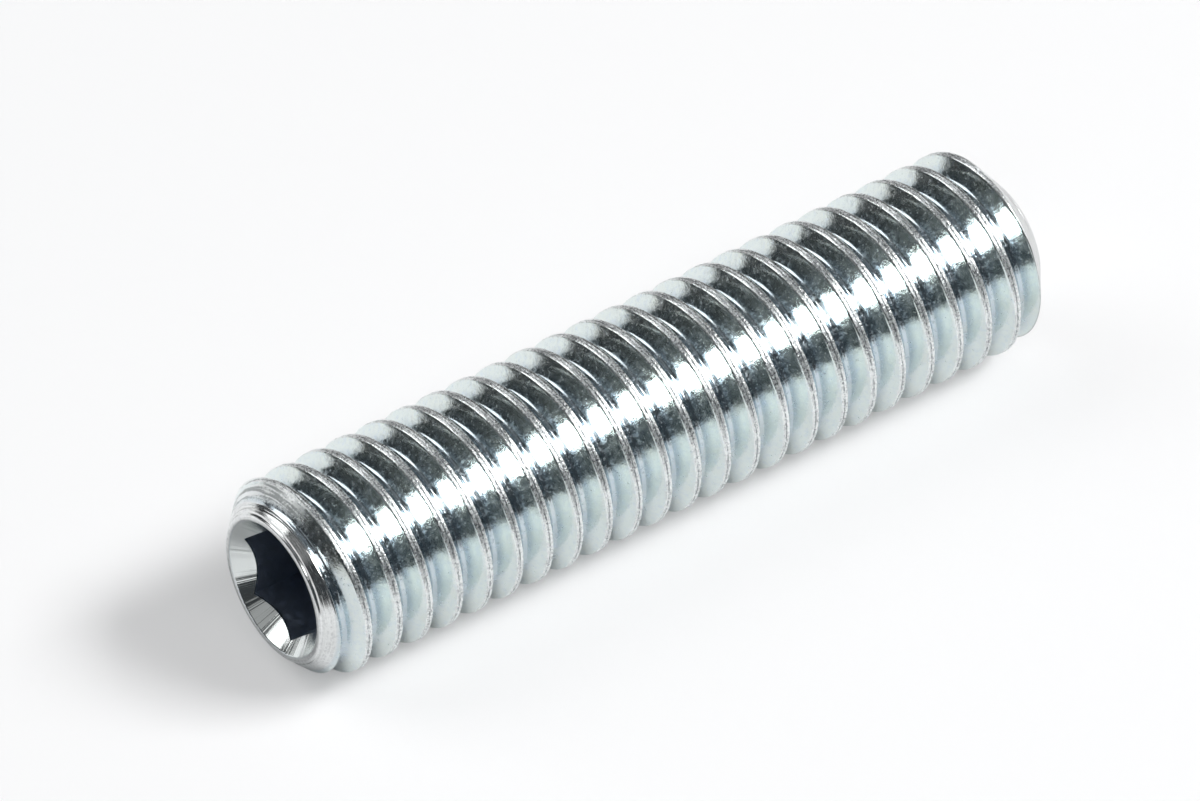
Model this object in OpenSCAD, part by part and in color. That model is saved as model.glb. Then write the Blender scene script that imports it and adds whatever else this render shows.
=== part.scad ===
// Hexagon socket set screw with a flat point, lying on its side as it comes to rest.
// The axis runs along X. The point face is at X = 0 and the socket rim at X = -length.
// Sizes are in millimetres and angles in degrees.

/* [Screw] */
// Length over all, from the socket rim to the flat point
length = 24.7; // [12:0.1:40]
// Diameter over the thread crests
major_d = 5.85; // [5.6:0.05:6.4]

/* [Thread] */
// Distance from one crest to the next
pitch = 1; // [0.8:0.05:1.25]
// Width of the flat left along the crest
crest_w = 0.2; // [0.1:0.02:0.3]
// Angle between the two flanks of the groove
flank_angle = 60; // [55:1:65]
// Radius of the rounded groove bottom
root_r = 0.14; // [0.08:0.01:0.2]
// Distance from the socket rim to the first crest, measured along the top
first_crest = 0.835; // [0.5:0.005:1.5]

/* [Socket end] */
// Width across the flats of the hexagon
socket_af = 3; // [2.4:0.1:3.3]
// Depth of the flats below the rim
socket_depth = 3.6; // [2:0.1:6]
// Turn of the hexagon about the axis, from a corner pointing straight up
socket_turn = -12.9; // [-30:0.1:30]
// Angle of the drilled bottom of the socket
socket_bottom_angle = 120; // [90:1:150]
// Diameter of the countersunk mouth of the socket
mouth_d = 4; // [3.9:0.05:4.3]
// Angle of the countersink
mouth_angle = 90; // [80:1:110]
// Width of the rim between the mouth and the outer chamfer
rim_w = 0.14; // [0.08:0.01:0.2]
// Radius of the rounding over both edges of the rim
rim_round = 0.12; // [0.03:0.01:0.2]
// Angle of the outer chamfer, measured from the axis
rim_chamfer_angle = 45; // [35:1:60]

/* [Point end] */
// Diameter of the flat point
point_d = 3.7; // [2.5:0.1:4.2]
// Angle of the point chamfer, measured from the axis
point_chamfer_angle = 52; // [35:1:65]

/* [Hidden] */
$fn = 96;
arc_parts = 3;
rim_parts = 3;
most_steps = 28;
triangle_budget = 11000;
clear = 1;
profile_n = arc_parts + 3;
crest_r = major_d / 2;
half_angle = flank_angle / 2;
apex_r = crest_r - (pitch - crest_w) / 2 / tan(half_angle);
arc_r = apex_r + root_r / sin(half_angle);
turns = ceil(length / pitch) + 3;
steps = min(most_steps, floor(triangle_budget / (2 * profile_n * turns)));
chain = turns * profile_n;
bar_start = first_crest % pitch - 2.5 * pitch;
outside_r = crest_r + clear;
rim_r = mouth_d / 2 + rim_w;
point_r = point_d / 2;
mouth_depth = mouth_d / 2 / tan(mouth_angle / 2);
outer_turn = 90 - rim_chamfer_angle;
inner_turn = 90 - mouth_angle / 2;
nose_r = min(rim_round, 0.95 * rim_w / (tan(outer_turn / 2) + tan(inner_turn / 2)));

// One pitch of the thread as points of axial offset and radius, starting at the crest
function profile(i) =
    i == 0 ? [-crest_w / 2, crest_r] :
    i == 1 ? [crest_w / 2, crest_r] :
    let (swing = (90 - half_angle) * (1 - 2 * (i - 2) / arc_parts))
    [pitch / 2 - root_r * sin(swing), arc_r - root_r * cos(swing)];

// Point m along the chain of profiles, at step j of the turn
function thread_point(j, m) =
    let (p = profile(m % profile_n), part_turn = (j + 0.5) / steps, a = 360 * part_turn)
    [p[1] * cos(a), p[1] * sin(a), p[0] + (floor(m / profile_n) + part_turn) * pitch];

// Number of that point. The step after the last is the first one, a turn further on
function at(j, m) = j < steps ? j * chain + m : m + profile_n;

// Threaded bar along Z, closed by a point on the axis at each end
module threaded_bar() {
    low = steps * chain;
    high = low + 1;
    seam = steps - 1;
    top = chain - 1;
    points = [
        for (j = [0:seam], m = [0:top]) thread_point(j, m),
        [0, 0, -pitch],
        [0, 0, (turns + 1) * pitch]
    ];
    sides = [
        for (j = [0:seam], m = [0:top - 1 - (j == seam ? profile_n : 0)])
            each [[at(j, m), at(j, m + 1), at(j + 1, m)],
                  [at(j, m + 1), at(j + 1, m + 1), at(j + 1, m)]]
    ];
    low_end = [
        for (j = [0:seam]) [low, at(j, 0), at(j + 1, 0)],
        for (i = [0:profile_n - 1]) [low, i + 1, i]
    ];
    high_end = [
        for (j = [0:seam - 1]) [high, at(j + 1, top), at(j, top)],
        for (i = [1:profile_n]) [high, at(seam, top - i), at(seam, top - i + 1)],
        [high, top, at(seam, top - profile_n)]
    ];
    polyhedron(points, concat(sides, low_end, high_end));
}

// Everything beyond the rounded rim, outside the chamfer around it and inside the countersunk mouth
module beyond_rim() {
    slope = (outside_r - rim_r) / tan(rim_chamfer_angle);
    outer_r = rim_r - nose_r * tan(outer_turn / 2);
    inner_r = mouth_d / 2 + nose_r * tan(inner_turn / 2);
    outer_arc = [
        for (i = [rim_parts:-1:0]) let (a = outer_turn * i / rim_parts)
            [outer_r + nose_r * sin(a), nose_r - nose_r * cos(a)]
    ];
    inner_arc = [
        for (i = [0:rim_parts]) let (a = inner_turn * i / rim_parts)
            [inner_r - nose_r * sin(a), nose_r - nose_r * cos(a)]
    ];
    outside = [[0, -6 * pitch], [outside_r, -6 * pitch], [outside_r, slope]];
    rotate_extrude()
        polygon(concat(outside, outer_arc, inner_arc, [[0, mouth_depth]]));
}

// Everything beyond the flat point and outside its chamfer
module beyond_point() {
    slope = (outside_r - point_r) / tan(point_chamfer_angle);
    rotate_extrude()
        polygon([[0, length], [point_r, length], [outside_r, length - slope],
                 [outside_r, length + 6 * pitch], [0, length + 6 * pitch]]);
}

// Hexagon socket with its drilled bottom, sunk from the rim
module socket() {
    bottom = socket_af / 2 / tan(socket_bottom_angle / 2);
    rotate([0, 0, socket_turn])
        translate([0, 0, -clear])
            cylinder(h = socket_depth + clear, d = socket_af / cos(30), $fn = 6);
    translate([0, 0, socket_depth - 0.01])
        cylinder(h = bottom, r1 = socket_af / 2, r2 = 0);
}

module set_screw() {
    color("silver")
        translate([-length, 0, 0])
            rotate([0, 90, 0])
                difference() {
                    translate([0, 0, bar_start])
                        threaded_bar();
                    beyond_rim();
                    beyond_point();
                    socket();
                }
}

set_screw();
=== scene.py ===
import math

import bmesh
import bpy
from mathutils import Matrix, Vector


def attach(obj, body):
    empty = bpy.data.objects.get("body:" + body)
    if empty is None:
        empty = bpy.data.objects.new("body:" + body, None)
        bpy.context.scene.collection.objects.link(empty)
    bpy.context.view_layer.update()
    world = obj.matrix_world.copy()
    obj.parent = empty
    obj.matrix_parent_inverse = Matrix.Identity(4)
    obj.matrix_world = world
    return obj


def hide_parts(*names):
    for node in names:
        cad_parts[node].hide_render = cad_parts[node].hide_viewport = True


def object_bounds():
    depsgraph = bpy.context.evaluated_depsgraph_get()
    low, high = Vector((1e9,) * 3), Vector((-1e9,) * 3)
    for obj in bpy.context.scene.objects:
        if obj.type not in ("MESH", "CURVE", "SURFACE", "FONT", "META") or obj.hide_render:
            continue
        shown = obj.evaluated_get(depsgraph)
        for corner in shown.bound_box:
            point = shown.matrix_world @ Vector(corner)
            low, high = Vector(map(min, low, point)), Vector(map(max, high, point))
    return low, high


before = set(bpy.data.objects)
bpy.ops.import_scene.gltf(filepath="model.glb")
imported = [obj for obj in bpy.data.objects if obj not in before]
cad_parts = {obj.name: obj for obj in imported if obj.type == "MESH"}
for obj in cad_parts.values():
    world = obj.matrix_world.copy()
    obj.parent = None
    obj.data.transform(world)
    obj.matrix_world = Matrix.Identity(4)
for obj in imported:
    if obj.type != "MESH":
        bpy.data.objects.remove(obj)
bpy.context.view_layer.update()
mm = 0.001

# the screw's sizes in mm and degrees, as in the part's source where that has them
screw = {
    "length": 24.7,
    "pitch": 1.0,
    "crestRadius": 2.911,       # between the middles and the corners of the source's crest facets
    "crestWidth": 0.2,
    "flankAngle": 60,
    "rootRadius": 0.14,
    "firstCrest": 0.835,        # from the rim, along the top
    "leftLip": 0.09,            # a rolled crest has two rounded lips
    "rightLip": 0.06,
    "seamDepth": 0.028,         # with a seam between them
    "seamPlace": -0.12,         # where it is deepest, in halves of the crest's width
    "seamSide": (0.2, 0.15),    # a point on its right side, and the part of the depth there
    "mouthDiameter": 4.0,
    "mouthAngle": 90,
    "rimWidth": 0.14,
    "rimRound": 0.12,
    "rimShare": 0.95,           # the most of the rim's width that its rounding takes
    "rimChamfer": 45,
    "socketFlats": 3.0,
    "socketDepth": 3.6,
    "socketTurn": -12.9,
    "drillAngle": 120,
    "drillOverlap": 0.01,       # the drilled bottom starts this far inside the flats
    "pointDiameter": 3.7,
    "pointChamfer": 52,
    "pointRound": 0.05,
    "lipSteps": 4,
    "rootSteps": 8,
    "flankEdge": 0.1,           # a flank's extra points, in parts of its width from its edges
    "stepsPerTurn": 120,
    "spareTurns": 3,            # the bar is longer than the screw
    "barStart": 2.5,            # pitches from the bar's start to the first crest
    "roundSteps": 6,
    "segments": 192,
    "clear": 1,                 # how far the cutters reach past the crests and the rim
    "farClear": 6,              # and past the bar's ends
    "weld": 0.0001,
    "hardAngle": 24,            # sharper edges than this aren't smoothed over
}


def tanDeg(angle):
    return math.tan(math.radians(angle))


# one pitch of the thread, as (along, radius) from the middle of a crest
def threadProfile(s):
    top, half = s["crestRadius"], s["crestWidth"] / 2
    slope = tanDeg(s["flankAngle"] / 2)
    flankTurn = 90 - s["flankAngle"] / 2

    def lip(size, side):
        reach = size * tanDeg(flankTurn / 2)
        points = []
        for i in range(s["lipSteps"] + 1):
            a = math.radians(flankTurn * i / s["lipSteps"])
            along = side * (half - reach + size * math.sin(a))
            points.append((along, top - size * (1 - math.cos(a))))
        return points

    sidePlace, sideDepth = s["seamSide"]
    seam = [(half * s["seamPlace"], top - s["seamDepth"]),
            (half * sidePlace, top - sideDepth * s["seamDepth"])]
    crest = lip(s["leftLip"], -1)[::-1] + seam + lip(s["rightLip"], 1)
    apex = top - (s["pitch"] - s["crestWidth"]) / 2 / slope
    centre = apex + s["rootRadius"] / math.sin(math.radians(s["flankAngle"] / 2))
    swing = math.radians(flankTurn)
    root = []
    for i in range(s["rootSteps"] + 1):
        a = swing * (1 - 2 * i / s["rootSteps"])
        root.append((s["pitch"] / 2 - s["rootRadius"] * math.sin(a),
                     centre - s["rootRadius"] * math.cos(a)))
    # each flank gets two points near its edges, so that its shading stays flat
    chain = crest + root + [(crest[0][0] + s["pitch"], crest[0][1])]
    near, rest = s["flankEdge"], 1 - s["flankEdge"]
    profile = []
    for (x0, r0), (x1, r1) in zip(chain, chain[1:]):
        profile.append((x0, r0))
        if (x0, r0) == crest[-1] or (x1, r1) == chain[-1]:
            profile.append((x0 * rest + x1 * near, r0 * rest + r1 * near))
            profile.append((x0 * near + x1 * rest, r0 * near + r1 * rest))
    return profile


# mm along the axis from the rim, mm from the axis, and the turn about +X from straight down
def toPart(along, radius, angle):
    return Vector(((along - screw["length"]) * mm,
                   radius * math.sin(angle) * mm,
                   -radius * math.cos(angle) * mm))


def meshObject(name, verts, faces):
    mesh = bpy.data.meshes.new(name)
    mesh.from_pydata(verts, [], faces)
    mesh.update()
    obj = bpy.data.objects.new(name, mesh)
    bpy.context.collection.objects.link(obj)
    return obj


# bar with the helix all along it, longer than the screw at both ends
def threadedBar(s):
    profile = threadProfile(s)
    n, steps, pitch = len(profile), s["stepsPerTurn"], s["pitch"]
    turns = math.ceil(s["length"] / pitch) + s["spareTurns"]
    chain = turns * n
    start = s["firstCrest"] % pitch - s["barStart"] * pitch
    verts = []
    for j in range(steps):
        part = (j + 0.5) / steps
        for m in range(chain):
            x, r = profile[m % n]
            verts.append(toPart(start + x + (m // n + part) * pitch, r, 2 * math.pi * part))
    low, high = len(verts), len(verts) + 1
    verts.append(toPart(start - pitch, 0, 0))
    verts.append(toPart(start + (turns + 1) * pitch, 0, 0))

    # the step after the last is the first one, a turn further on
    def at(j, m):
        return j * chain + m if j < steps else m + n

    faces = []
    for j in range(steps):
        for m in range(chain - 1 - (n if j == steps - 1 else 0)):
            faces.append((at(j, m), at(j + 1, m), at(j + 1, m + 1), at(j, m + 1)))
        faces.append((low, at(j + 1, 0), at(j, 0)))
    for i in range(n):
        faces.append((low, i, i + 1))
        faces.append((high, at(steps - 1, chain - 1 - i), at(steps - 1, chain - 2 - i)))
    for j in range(steps - 1):
        faces.append((high, at(j, chain - 1), at(j + 1, chain - 1)))
    faces.append((high, at(steps - 1, chain - 1 - n), chain - 1))
    return meshObject("threadedBar", verts, faces)


# closed solid turned about the axis, from (along, radius) points that start and end on it
def turnedSolid(name, points, segments):
    verts, faces, rings = [], [], []
    for along, radius in points:
        if radius == 0:
            rings.append([len(verts)] * segments)
            verts.append(toPart(along, 0, 0))
        else:
            rings.append([len(verts) + k for k in range(segments)])
            for k in range(segments):
                verts.append(toPart(along, radius, 2 * math.pi * (k + 0.5) / segments))
    for a, b in zip(rings, rings[1:]):
        for k in range(segments):
            after = (k + 1) % segments
            face = []
            for v in (a[k], a[after], b[after], b[k]):
                if v not in face:
                    face.append(v)
            if len(face) > 2:
                faces.append(face)
    return meshObject(name, verts, faces)


def hexagonBar(flats, low, high, turn):
    corner = flats / 2 / math.cos(math.radians(30))
    angles = [math.radians(turn + 60 * k) for k in range(6)]
    verts = [toPart(along, corner, angle) for along in (low, high) for angle in angles]
    faces = [tuple(range(6)), tuple(range(11, 5, -1))]
    faces += [(k, k + 6, (k + 1) % 6 + 6, (k + 1) % 6) for k in range(6)]
    return meshObject("hexagonBar", verts, faces)


# rounding of a corner at a radius between the end face and a cone, listed from the end face
def rounding(radius, size, turn, outwards, steps):
    start = radius - outwards * size * tanDeg(turn / 2)
    points = []
    for i in range(steps + 1):
        a = math.radians(turn * i / steps)
        points.append((size * (1 - math.cos(a)), start + outwards * size * math.sin(a)))
    return points


# everything the lathe, the punch and the drill take away
def cutters(s):
    out, far = s["crestRadius"] + s["clear"], s["farClear"]
    length, steps, segments = s["length"], s["roundSteps"], s["segments"]

    mouth = s["mouthDiameter"] / 2
    rim = mouth + s["rimWidth"]
    outerTurn, innerTurn = 90 - s["rimChamfer"], 90 - s["mouthAngle"] / 2
    nose = s["rimShare"] * s["rimWidth"] / (tanDeg(outerTurn / 2) + tanDeg(innerTurn / 2))
    nose = min(s["rimRound"], nose)
    outer = rounding(rim, nose, outerTurn, 1, steps)
    inner = rounding(mouth, nose, innerTurn, -1, steps)
    outline = [(-far, 0), (-far, out), ((out - rim) / tanDeg(s["rimChamfer"]), out)]
    outline += outer[::-1] + inner + [(mouth / tanDeg(s["mouthAngle"] / 2), 0)]
    yield turnedSolid("beyondRim", outline, segments)

    point = s["pointDiameter"] / 2
    edge = rounding(point, s["pointRound"], 90 - s["pointChamfer"], 1, steps)
    outline = [(length, 0)] + [(length - x, r) for x, r in edge]
    outline += [(length - (out - point) / tanDeg(s["pointChamfer"]), out),
                (length + far, out), (length + far, 0)]
    yield turnedSolid("beyondPoint", outline, segments)

    yield hexagonBar(s["socketFlats"], -s["clear"], s["socketDepth"], s["socketTurn"])
    drill, start = s["socketFlats"] / 2, s["socketDepth"] - s["drillOverlap"]
    tip = start + drill / tanDeg(s["drillAngle"] / 2)
    yield turnedSolid("drilledBottom", [(start, 0), (start, drill), (tip, 0)], segments)


def makeScrew(s):
    body = threadedBar(s)
    for cutter in cutters(s):
        bm = bmesh.new()
        bm.from_mesh(cutter.data)
        bmesh.ops.recalc_face_normals(bm, faces=bm.faces)
        bm.to_mesh(cutter.data)
        bm.free()
        cut = body.modifiers.new("cut", "BOOLEAN")
        cut.operation, cut.solver, cut.object = "DIFFERENCE", "EXACT", cutter
        graph = bpy.context.evaluated_depsgraph_get()
        done = bpy.data.meshes.new_from_object(body.evaluated_get(graph))
        body.modifiers.clear()
        body.data = done
        bpy.data.objects.remove(cutter)
    bm = bmesh.new()
    bm.from_mesh(body.data)
    bmesh.ops.remove_doubles(bm, verts=bm.verts, dist=s["weld"] * mm)
    for face in bm.faces:
        face.smooth = True
    for edge in bm.edges:
        edge.smooth = edge.is_manifold and edge.calc_face_angle(0) < math.radians(s["hardAngle"])
    bm.to_mesh(body.data)
    bm.free()
    body.data.materials.clear()
    return body


# a socket of a node tree, so that shader maths reads as ordinary maths
class Link:
    def __init__(self, tree, socket=None):
        self.tree, self.socket = tree, socket

    # any node: its type, its settings, then the values or links of its sockets
    def node(self, kind, settings, sockets, output=0):
        made = self.tree.nodes.new(kind)
        for name, value in settings.items():
            setattr(made, name, value)
        for name, value in sockets.items():
            if isinstance(value, Link):
                self.tree.links.new(value.socket, made.inputs[name])
            else:
                made.inputs[name].default_value = value
        return Link(self.tree, made.outputs[output] if made.outputs else None)

    def output(self, name):
        return Link(self.tree, self.socket.node.outputs[name])

    def maths(self, operation, a, b=0.0, c=0.0):
        return self.node("ShaderNodeMath", {"operation": operation}, {0: a, 1: b, 2: c})

    def most(self, other):
        return self.maths("MAXIMUM", self, other)

    # 0 below the first limit and 1 above the second, both counted from the base
    def ramp(self, low, high, base=0):
        return self.node("ShaderNodeMapRange", {"interpolation_type": "SMOOTHSTEP"},
                         {"Value": self, "From Min": base + low, "From Max": base + high})

    def mix(self, factor, a, b):
        return self.node("ShaderNodeMix", {"data_type": "RGBA"}, {0: factor, 6: a, 7: b}, 2)

    def __add__(self, other):
        return self.maths("ADD", self, other)

    def __radd__(self, other):
        return self.maths("ADD", other, self)

    def __sub__(self, other):
        return self.maths("SUBTRACT", self, other)

    def __rsub__(self, other):
        return self.maths("SUBTRACT", other, self)

    def __mul__(self, other):
        return self.maths("MULTIPLY", self, other)

    def __rmul__(self, other):
        return self.maths("MULTIPLY", other, self)

    def __truediv__(self, other):
        return self.maths("DIVIDE", self, other)

    def __rtruediv__(self, other):
        return self.maths("DIVIDE", other, self)

    def __pow__(self, other):
        return self.maths("POWER", self, other)

    def __rpow__(self, other):
        return self.maths("POWER", other, self)

    def __abs__(self):
        return self.maths("ABSOLUTE", self)


def newMaterial(name):
    material = bpy.data.materials.new(name)
    material.use_nodes = True
    material.node_tree.nodes.clear()
    return material, Link(material.node_tree)


# sizes and depths in mm; a pair holds the two limits between which a change comes in
zinc = {
    # the plating on the flanks, and painted shade that makes the groove darker and bluer
    "flankColour": (0.81, 0.88, 0.86, 1),
    "grooveShadeColour": (0.57, 0.65, 0.69, 1),
    "grooveRadii": (-0.54, -0.2),           # from the crests' radius
    "roughness": 0.10,
    "grainSize": 0.06,
    "grainDepth": 0.0016,
    "swellSize": 0.3,
    "swellDepth": 0.002,
    "tint": 0.25,                           # of blue in blots and of straw in wider clouds
    "blue": (0.58, 0.69, 0.86, 1),
    "blotSize": 0.13,
    "blotRange": (0.5, 0.64),
    "straw": (0.80, 0.83, 0.76, 1),
    "cloudSize": 0.9,
    "cloudRange": (0.5, 0.66),
    # haze, where the plating is cloudy, and rare dull specks
    "hazeTint": 0.12,
    "hazeRoughness": 0.29,
    "hazeSize": 0.14,
    "hazeRange": (0.33, 0.75),
    "patchSize": 0.32,
    "patchRange": (0.34, 0.62),
    "hazeShares": (0.6, 0.5, 0.4),          # in patches, in the groove and everywhere
    "speckSize": 0.06,
    "speckRange": (0.68, 0.78),
    "speckRoughness": 0.25,                 # more than around them
    # the crests, where the rolling tore the skin
    "tornColour": (0.975, 1.0, 1.0, 1),
    "tornDark": (0.60, 0.625, 0.635, 1),
    "tornRange": (0.39, 0.53),
    "tornRoughness": 0.29,
    "tornUneven": 0.3,
    "tornDepth": 0.03,
    "fleckSize": 0.06,
    "fleckDepth": 0.012,
    "streakWidth": 0.05,
    "streakLength": 0.3,
    "crestRadii": (-0.09, -0.06),           # from the crests' radius
    "crestEdge": (-0.01, 0.02),             # pitches from the crest's edge, which is ragged
    "raggedSize": 0.09,
    "raggedReach": 0.06,
    "seamColour": (0.36, 0.38, 0.39, 1),    # a broken dark line along the middle
    "seamEdge": (0.006, 0.024),             # pitches from it
    "seamRange": (0.44, 0.54),
    "seamWander": 0.4,                      # in parts of the ragged edge's reach
    # the scuffed top of the first flank behind the rim
    "scuffDark": (0.34, 0.355, 0.36, 1),
    "scuffRange": (0.44, 0.56),
    "scuffCover": 0.85,
    "scuffRoughness": 0.3,
    "scuffRelief": 0.5,                     # in parts of the crests' relief
    "arcWidth": 0.11,
    "arcLength": 1.3,
    "scuffRadii": (2.2, 2.5),
    "scuffStart": (-0.42, -0.28),           # pitches from the first crest
    "scuffEnd": (-0.12, -0.04),
    "scuffTurn": (-0.45, -0.3),             # turns from the top, towards -Y
    "scuffTurnEnd": (0.0, 0.07),
    # the rim and the point, with fine rings from the lathe
    "turnedColour": (0.86, 0.88, 0.875, 1),
    "turnedDark": (0.66, 0.675, 0.68, 1),
    "turnedRange": (0.4, 0.56),
    "turnedRoughness": 0.17,
    "turnedUneven": 0.2,
    "ringWidth": 0.06,
    "ringLength": 1.2,
    "ringDepth": 0.007,
    "rimEdge": (-0.05, 0.03),               # from the mouth's radius
    "rimEnd": (0.3, 0.4),
    "rimGroove": 0.07,                      # a groove this far outside the rim
    "rimGrooveWidth": 0.042,
    "rimGrooveDepth": 0.022,
    "cornerWidth": 0.09,                    # where a turned end runs out into the thread
    "cornerDepth": 0.035,
    "chamferEdge": (0.02, 0.05),            # below the point's chamfer and its face
    "faceEdge": (0.03, 0.06),
    # the countersunk mouth, and the socket, whose inside is painted dark as shade
    "coneColour": (0.83, 0.87, 0.86, 1),
    "coneRadii": (-0.03, 0.01),             # from the mouth's radius
    "coneEnd": (0.6, 0.7),
    "chatterWidth": 0.9,
    "chatterLength": 0.13,
    "chatterDepth": 0.012,
    "socketShadeColour": (0.27, 0.32, 0.40, 1),
    "socketRoughness": 0.35,
    "underCone": (0.02, 0.05),
    "socketRadii": (1.735, 1.75),           # just outside the hexagon's corners
    "socketEnd": (8, 9),                    # well past its bottom
}


def zincPlate(z, s):
    material, paint = newMaterial("zincPlate")
    place = paint.node("ShaderNodeTexCoord", {}, {}, "Object")
    place = paint.node("ShaderNodeVectorMath", {"operation": "SCALE"},
                       {"Vector": place, "Scale": 1 / mm})
    x = paint.node("ShaderNodeSeparateXYZ", {}, {"Vector": place}, "X")
    y, up = x.output("Y"), x.output("Z")
    along = x + s["length"]
    radius = (y * y + up * up) ** 0.5
    top, mouth = s["crestRadius"], s["mouthDiameter"] / 2

    def noise(size, detail=2, roughness=0.5, where=place):
        return paint.node("ShaderNodeTexNoise", {},
                          {"Vector": where, "Scale": 1 / size, "Detail": detail,
                           "Roughness": roughness}, "Fac")

    # marks that run round the screw; their length is measured at the given radius
    def marks(width, length, atRadius):
        around = atRadius / length
        where = paint.node("ShaderNodeCombineXYZ", {},
                           {"X": (x + radius) / width, "Y": y / radius * around,
                            "Z": up / radius * around})
        return noise(1, 3, 0.6, where)

    # where on the thread: 0 in the middle of a crest, half a pitch either way in the groove
    turn = paint.maths("ARCTAN2", y * -1, up) / (2 * math.pi)
    pitches = (along - s["firstCrest"]) / s["pitch"] - turn
    fromCrest = paint.maths("WRAP", pitches, 0.5, -0.5)
    edge = s["crestWidth"] / s["pitch"] / 2
    ragged = (noise(z["raggedSize"]) - 0.5) * z["raggedReach"]
    crest = 1 - (abs(fromCrest) + ragged).ramp(*z["crestEdge"], base=edge)
    crest = crest * radius.ramp(*z["crestRadii"], base=top)
    # deep in the groove: painted shade there, and more haze
    deep = 1 - radius.ramp(*z["grooveRadii"], base=top)
    scuff = pitches.ramp(*z["scuffStart"]) * (1 - pitches.ramp(*z["scuffEnd"]))
    scuff = scuff * radius.ramp(*z["scuffRadii"])
    scuff = scuff * turn.ramp(*z["scuffTurn"]) * (1 - turn.ramp(*z["scuffTurnEnd"]))

    # where on the ends: the rim, the mouth of the socket, the socket and the point
    rim = (radius - along).ramp(*z["rimEdge"], base=mouth) * (1 - along.ramp(*z["rimEnd"]))
    under = (radius + along).ramp(*z["underCone"], base=mouth)
    cone = (1 - radius.ramp(*z["coneRadii"], base=mouth)) * (1 - under)
    cone = cone * (1 - along.ramp(*z["coneEnd"]))
    inSocket = (1 - radius.ramp(*z["socketRadii"])) * under * (1 - along.ramp(*z["socketEnd"]))
    left = s["length"] - along
    point = left * tanDeg(s["pointChamfer"]) + s["pointDiameter"] / 2 - radius
    point = (1 - point.ramp(*z["chamferEdge"])).most(1 - left.ramp(*z["faceEdge"]))
    turned = rim.most(point)
    plain = (1 - turned.most(cone)) * (1 - crest)
    flank = top - (abs(fromCrest) - edge) * (s["pitch"] / tanDeg(s["flankAngle"] / 2))
    corner = 1 - (flank - radius).ramp(0, z["cornerWidth"])
    groove = abs(radius - mouth - s["rimWidth"] - z["rimGroove"])
    groove = 1 - groove.ramp(0, z["rimGrooveWidth"])

    # patterns that run from 0 to 1, with their middle at 0.5
    streaks = marks(z["streakWidth"], z["streakLength"], top)
    arcs = marks(z["arcWidth"], z["arcLength"], top)
    rings = marks(z["ringWidth"], z["ringLength"], mouth)
    chatter = marks(z["chatterWidth"], z["chatterLength"], mouth)
    grain, swell = noise(z["grainSize"]), noise(z["swellSize"])
    cloud, patch = noise(z["cloudSize"]), noise(z["patchSize"])
    blot, fleck = noise(z["blotSize"], 3, 0.65), noise(z["fleckSize"], 2, 0.6)
    # the dull places
    speck = noise(z["speckSize"], 1).ramp(*z["speckRange"]) * plain
    inPatches, inGroove, everywhere = z["hazeShares"]
    haze = noise(z["hazeSize"], 3, 0.65).ramp(*z["hazeRange"])
    haze = haze * (patch.ramp(*z["patchRange"]) * inPatches + deep * inGroove + everywhere)

    height = ((grain - 0.5) * z["grainDepth"] + (swell - 0.5) * z["swellDepth"]) * plain
    torn = (streaks - 0.5) * z["tornDepth"] + (fleck - 0.5) * z["fleckDepth"]
    height = height + (crest + scuff * z["scuffRelief"]) * torn
    height = height + turned * ((rings - 0.5) * z["ringDepth"] - corner * z["cornerDepth"])
    height = height + cone * (chatter - 0.5) * z["chatterDepth"]
    height = height - rim * groove * z["rimGrooveDepth"]
    bump = paint.node("ShaderNodeBump", {}, {"Strength": 1.0, "Distance": mm, "Height": height})

    # painted shade: the colour goes darker and bluer towards the bottom of the groove
    colour = paint.mix(deep, z["flankColour"], z["grooveShadeColour"])
    colour = paint.mix(blot.ramp(*z["blotRange"]) * z["tint"], colour, z["blue"])
    colour = paint.mix(cloud.ramp(*z["cloudRange"]) * z["tint"], colour, z["straw"])
    colour = paint.mix(haze * z["hazeTint"], colour, z["blue"])
    scuffed = (arcs * 0.7 + fleck * 0.3).ramp(*z["scuffRange"])
    scuffed = paint.mix(scuffed, z["scuffDark"], z["tornColour"])
    colour = paint.mix(scuff * z["scuffCover"], colour, scuffed)
    scored = (streaks * 0.5 + fleck * 0.5).ramp(*z["tornRange"])
    colour = paint.mix(crest, colour, paint.mix(scored, z["tornDark"], z["tornColour"]))
    seam = 1 - abs(fromCrest + ragged * z["seamWander"]).ramp(*z["seamEdge"])
    seam = seam * (blot * 0.5 + streaks * 0.5).ramp(*z["seamRange"])
    colour = paint.mix(seam * crest, colour, z["seamColour"])
    lathe = (rings * 0.35 + fleck * 0.3 + blot * 0.35).ramp(*z["turnedRange"])
    lathe = paint.mix(lathe, z["turnedDark"], z["turnedColour"])
    colour = paint.mix(turned, paint.mix(cone, colour, z["coneColour"]), lathe)
    # painted shade: the inside of the socket is dark
    colour = paint.mix(inSocket, colour, z["socketShadeColour"])

    # each finish adds how much rougher than the plain plating it is
    base = z["roughness"]
    rough = base + haze * (z["hazeRoughness"] - base) * plain + speck * z["speckRoughness"]
    rough = rough + crest * (z["tornRoughness"] + (fleck - 0.5) * z["tornUneven"] - base)
    rough = rough + turned * (z["turnedRoughness"] + (blot - 0.5) * z["turnedUneven"] - base)
    rough = rough + scuff * (z["scuffRoughness"] - base)
    rough = rough + inSocket * (z["socketRoughness"] - base)
    shader = paint.node("ShaderNodeBsdfPrincipled", {},
                        {"Base Color": colour, "Metallic": 1.0, "Roughness": rough,
                         "Normal": bump})
    paint.node("ShaderNodeOutputMaterial", {}, {"Surface": shader})
    return material


body = makeScrew(screw)
body.name = "setScrew"
body.data.materials.append(zincPlate(zinc, screw))
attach(body, "root")
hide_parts("set_screw")
print("screw made and plated,", len(body.data.vertices), "vertices")


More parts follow.
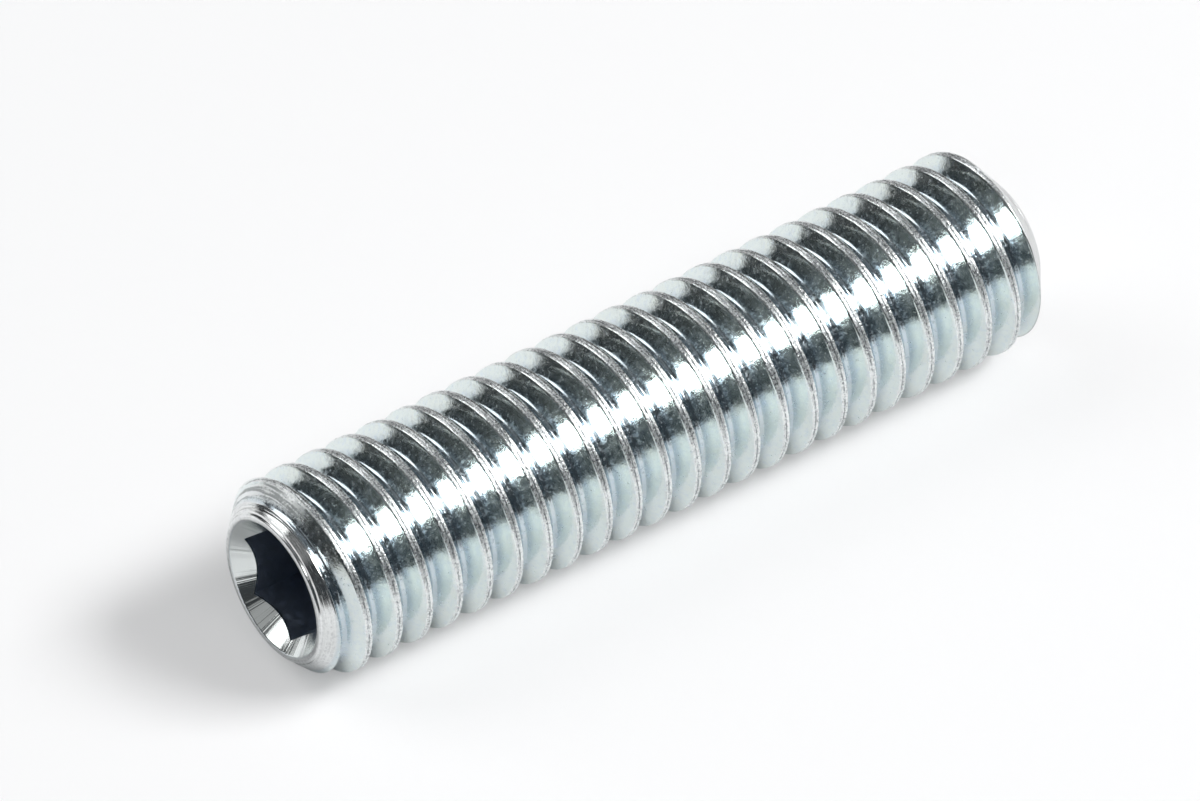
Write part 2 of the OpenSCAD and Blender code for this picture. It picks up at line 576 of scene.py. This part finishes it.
# azimuths from +X towards +Y and elevations in degrees, the rest in metres, lamps in watts
studio = {
    "floorColour": (0.92, 0.92, 0.925, 1),
    "floorHalf": 3.0,
    "floorLift": 0.30,              # how far the floor goes to pure white where it is looked at
    "farFloorLift": 0.84,           # the same in reflections, far from the screw
    "farFloor": (0.03, 0.15),
    "nearShade": 0.19,              # and how much darker it is under the screw
    "nearShadeEdge": (0.003, 0.009),
    "frontEdge": 0.0311,            # in reflections the pale floor ends in front of the screw,
    "frontEdgeSoft": 0.002,
    "frontEdgeAzimuth": -123.8,     # along a line that faces this way,
    "backEdge": 0.20,               # and behind its socket end
    "backEdgeSoft": 0.03,
    "backEdgeSides": (0.57, 0.62),  # cosines of the angle from -X
    "backdropAzimuths": (18, 125),
    "backdropTop": 5,
    "backdropSteps": 7,
    "backdropDistance": 0.6,
    "backdropLight": 0.8,
    "darkRoom": (0.90, 0.95, 1.0, 1),
    "darkRoomLight": 0.048,
    "frontRoom": (0.72, 0.87, 1.0, 1),      # low in front of the screw it is a little bluer
    "frontRoomLight": 0.012,                # and brighter by this
    "frontRoomSides": (0.3, 0.6),           # how far a direction points towards -Y
    "frontRoomTop": (0.4, 0.6),             # and how far it points up
    "ceilingLight": 0.2,
    "ceilingEdge": (0.88, 0.96),
    "lampDistance": 0.6,
    "lamps": {
        "keySoftbox": {"azimuth": -42, "elevation": 46.3, "size": (0.30, 0.18), "power": 2.9},
        "longSoftbox": {"azimuth": -85, "elevation": 52.5, "size": (1.36, 0.16), "power": 1.75},
        "rearSoftbox": {"azimuth": 131, "elevation": 42, "size": (0.36, 0.52), "power": 1.15,
                        "roll": 15},
        "sidePanel": {"azimuth": 177, "elevation": 27, "size": (0.30, 0.14), "power": 0.04},
    },
}


def direction(azimuth, elevation):
    a, e = math.radians(azimuth), math.radians(elevation)
    return Vector((math.cos(e) * math.cos(a), math.cos(e) * math.sin(a), math.sin(e)))


def softbox(s, name, aim):
    lamp = s["lamps"][name]
    data = bpy.data.lights.new(name, "AREA")
    data.shape, data.energy = "RECTANGLE", lamp["power"]
    data.size, data.size_y = lamp["size"]
    made = bpy.data.objects.new(name, data)
    away = direction(lamp["azimuth"], lamp["elevation"])
    made.location = aim + away * s["lampDistance"]
    made.rotation_euler = away.to_track_quat("Z", "Y").to_euler()
    made.rotation_euler.rotate_axis("Z", math.radians(lamp.get("roll", 0)))
    bpy.context.collection.objects.link(made)


def floorMaterial(s):
    material, paint = newMaterial("paleFloor")
    path = paint.node("ShaderNodeLightPath", {}, {}, "Is Camera Ray")
    place = paint.node("ShaderNodeTexCoord", {}, {}, "Object")
    reach = paint.node("ShaderNodeVectorMath", {"operation": "LENGTH"}, {"Vector": place}, "Value")
    glossy = path.output("Is Glossy Ray")
    x = paint.node("ShaderNodeSeparateXYZ", {}, {"Vector": place}, "X")
    y = x.output("Y")
    facing = direction(s["frontEdgeAzimuth"], 0)
    soft = s["frontEdgeSoft"]
    inFront = (x * facing.x + y * facing.y).ramp(-soft, soft, base=s["frontEdge"])
    soft = s["backEdgeSoft"]
    behind = (x * -1 / reach).ramp(*s["backEdgeSides"])
    behind = behind * reach.ramp(-soft, soft, base=s["backEdge"])
    shade = (1 - abs(y).ramp(*s["nearShadeEdge"])) * s["nearShade"]
    lift = path * s["floorLift"] + glossy * (reach.ramp(*s["farFloor"]) * s["farFloorLift"])
    matt = paint.node("ShaderNodeBsdfDiffuse", {}, {"Color": s["floorColour"]})
    white = paint.node("ShaderNodeEmission", {}, {"Strength": 1.0})
    mixed = paint.node("ShaderNodeMixShader", {}, {0: lift, 1: matt, 2: white})
    dark = paint.node("ShaderNodeEmission", {},
                      {"Color": s["darkRoom"], "Strength": s["darkRoomLight"]})
    ended = glossy * inFront.most(behind).most(shade)
    mixed = paint.node("ShaderNodeMixShader", {}, {0: ended, 1: mixed, 2: dark})
    paint.node("ShaderNodeOutputMaterial", {}, {"Surface": mixed})
    return material


def backdropMaterial(s):
    material, paint = newMaterial("paleBackdrop")
    white = paint.node("ShaderNodeEmission", {}, {"Strength": s["backdropLight"]})
    paint.node("ShaderNodeOutputMaterial", {}, {"Surface": white})
    return material


def makeFloor(s, ground):
    h = s["floorHalf"]
    corners = [(-h, -h, ground), (h, -h, ground), (h, h, ground), (-h, h, ground)]
    floor = meshObject("floor", corners, [(0, 1, 2, 3)])
    floor.data.materials.append(floorMaterial(s))


def makeBackdrop(s, ground):
    (start, end), steps = s["backdropAzimuths"], s["backdropSteps"]
    top = ground + s["backdropDistance"] * tanDeg(s["backdropTop"])
    verts = []
    for i in range(steps + 1):
        foot = direction(start + (end - start) * i / steps, 0) * s["backdropDistance"]
        verts += [(foot.x, foot.y, ground), (foot.x, foot.y, top)]
    faces = [(i, i + 1, i + 3, i + 2) for i in range(0, 2 * steps, 2)]
    backdrop = meshObject("backdrop", verts, faces)
    backdrop.data.materials.append(backdropMaterial(s))


# white where the camera looks past the floor, and for the rest a dark room with a dim ceiling
def makeWorld(s):
    world = bpy.data.worlds.new("studio")
    world.use_nodes = True
    world.node_tree.nodes.clear()
    paint = Link(world.node_tree)
    seen = paint.node("ShaderNodeLightPath", {}, {}, "Is Camera Ray")
    way = paint.node("ShaderNodeTexCoord", {}, {}, "Generated")
    up = paint.node("ShaderNodeSeparateXYZ", {}, {"Vector": way}, "Z")
    dim = s["darkRoomLight"]
    light = dim + up.ramp(*s["ceilingEdge"]) * (s["ceilingLight"] - dim)
    front = (up.output("Y") * -1).ramp(*s["frontRoomSides"])
    front = front * (1 - up.ramp(*s["frontRoomTop"]))
    room = paint.node("ShaderNodeBackground", {},
                      {"Color": paint.mix(front, s["darkRoom"], s["frontRoom"]),
                       "Strength": light + front * s["frontRoomLight"]})
    white = paint.node("ShaderNodeBackground", {}, {"Color": (1, 1, 1, 1), "Strength": 1.0})
    mixed = paint.node("ShaderNodeMixShader", {}, {0: seen, 1: room, 2: white})
    paint.node("ShaderNodeOutputWorld", {}, {"Surface": mixed})
    bpy.context.scene.world = world


low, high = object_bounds()
makeFloor(studio, low.z)
makeBackdrop(studio, low.z)
for name in studio["lamps"]:
    softbox(studio, name, (low + high) / 2)
makeWorld(studio)
print("floor, backdrop and lamps")

shot = {
    "place": (-0.16224, -0.19793, 0.20984),     # metres
    "looks": (0.45861, 0.61140, -0.64487),      # the direction it looks in
    "lens": 359.1,                              # mm, and so is the sensor's width
    "sensor": 36,
}
camera = bpy.data.objects.new("camera", bpy.data.cameras.new("camera"))
camera.data.lens, camera.data.sensor_width = shot["lens"], shot["sensor"]
camera.location = shot["place"]
camera.rotation_euler = Vector(shot["looks"]).to_track_quat("-Z", "Y").to_euler()
bpy.context.collection.objects.link(camera)
bpy.context.scene.camera = camera
bpy.context.scene.view_settings.view_transform = "Standard"
print("camera")
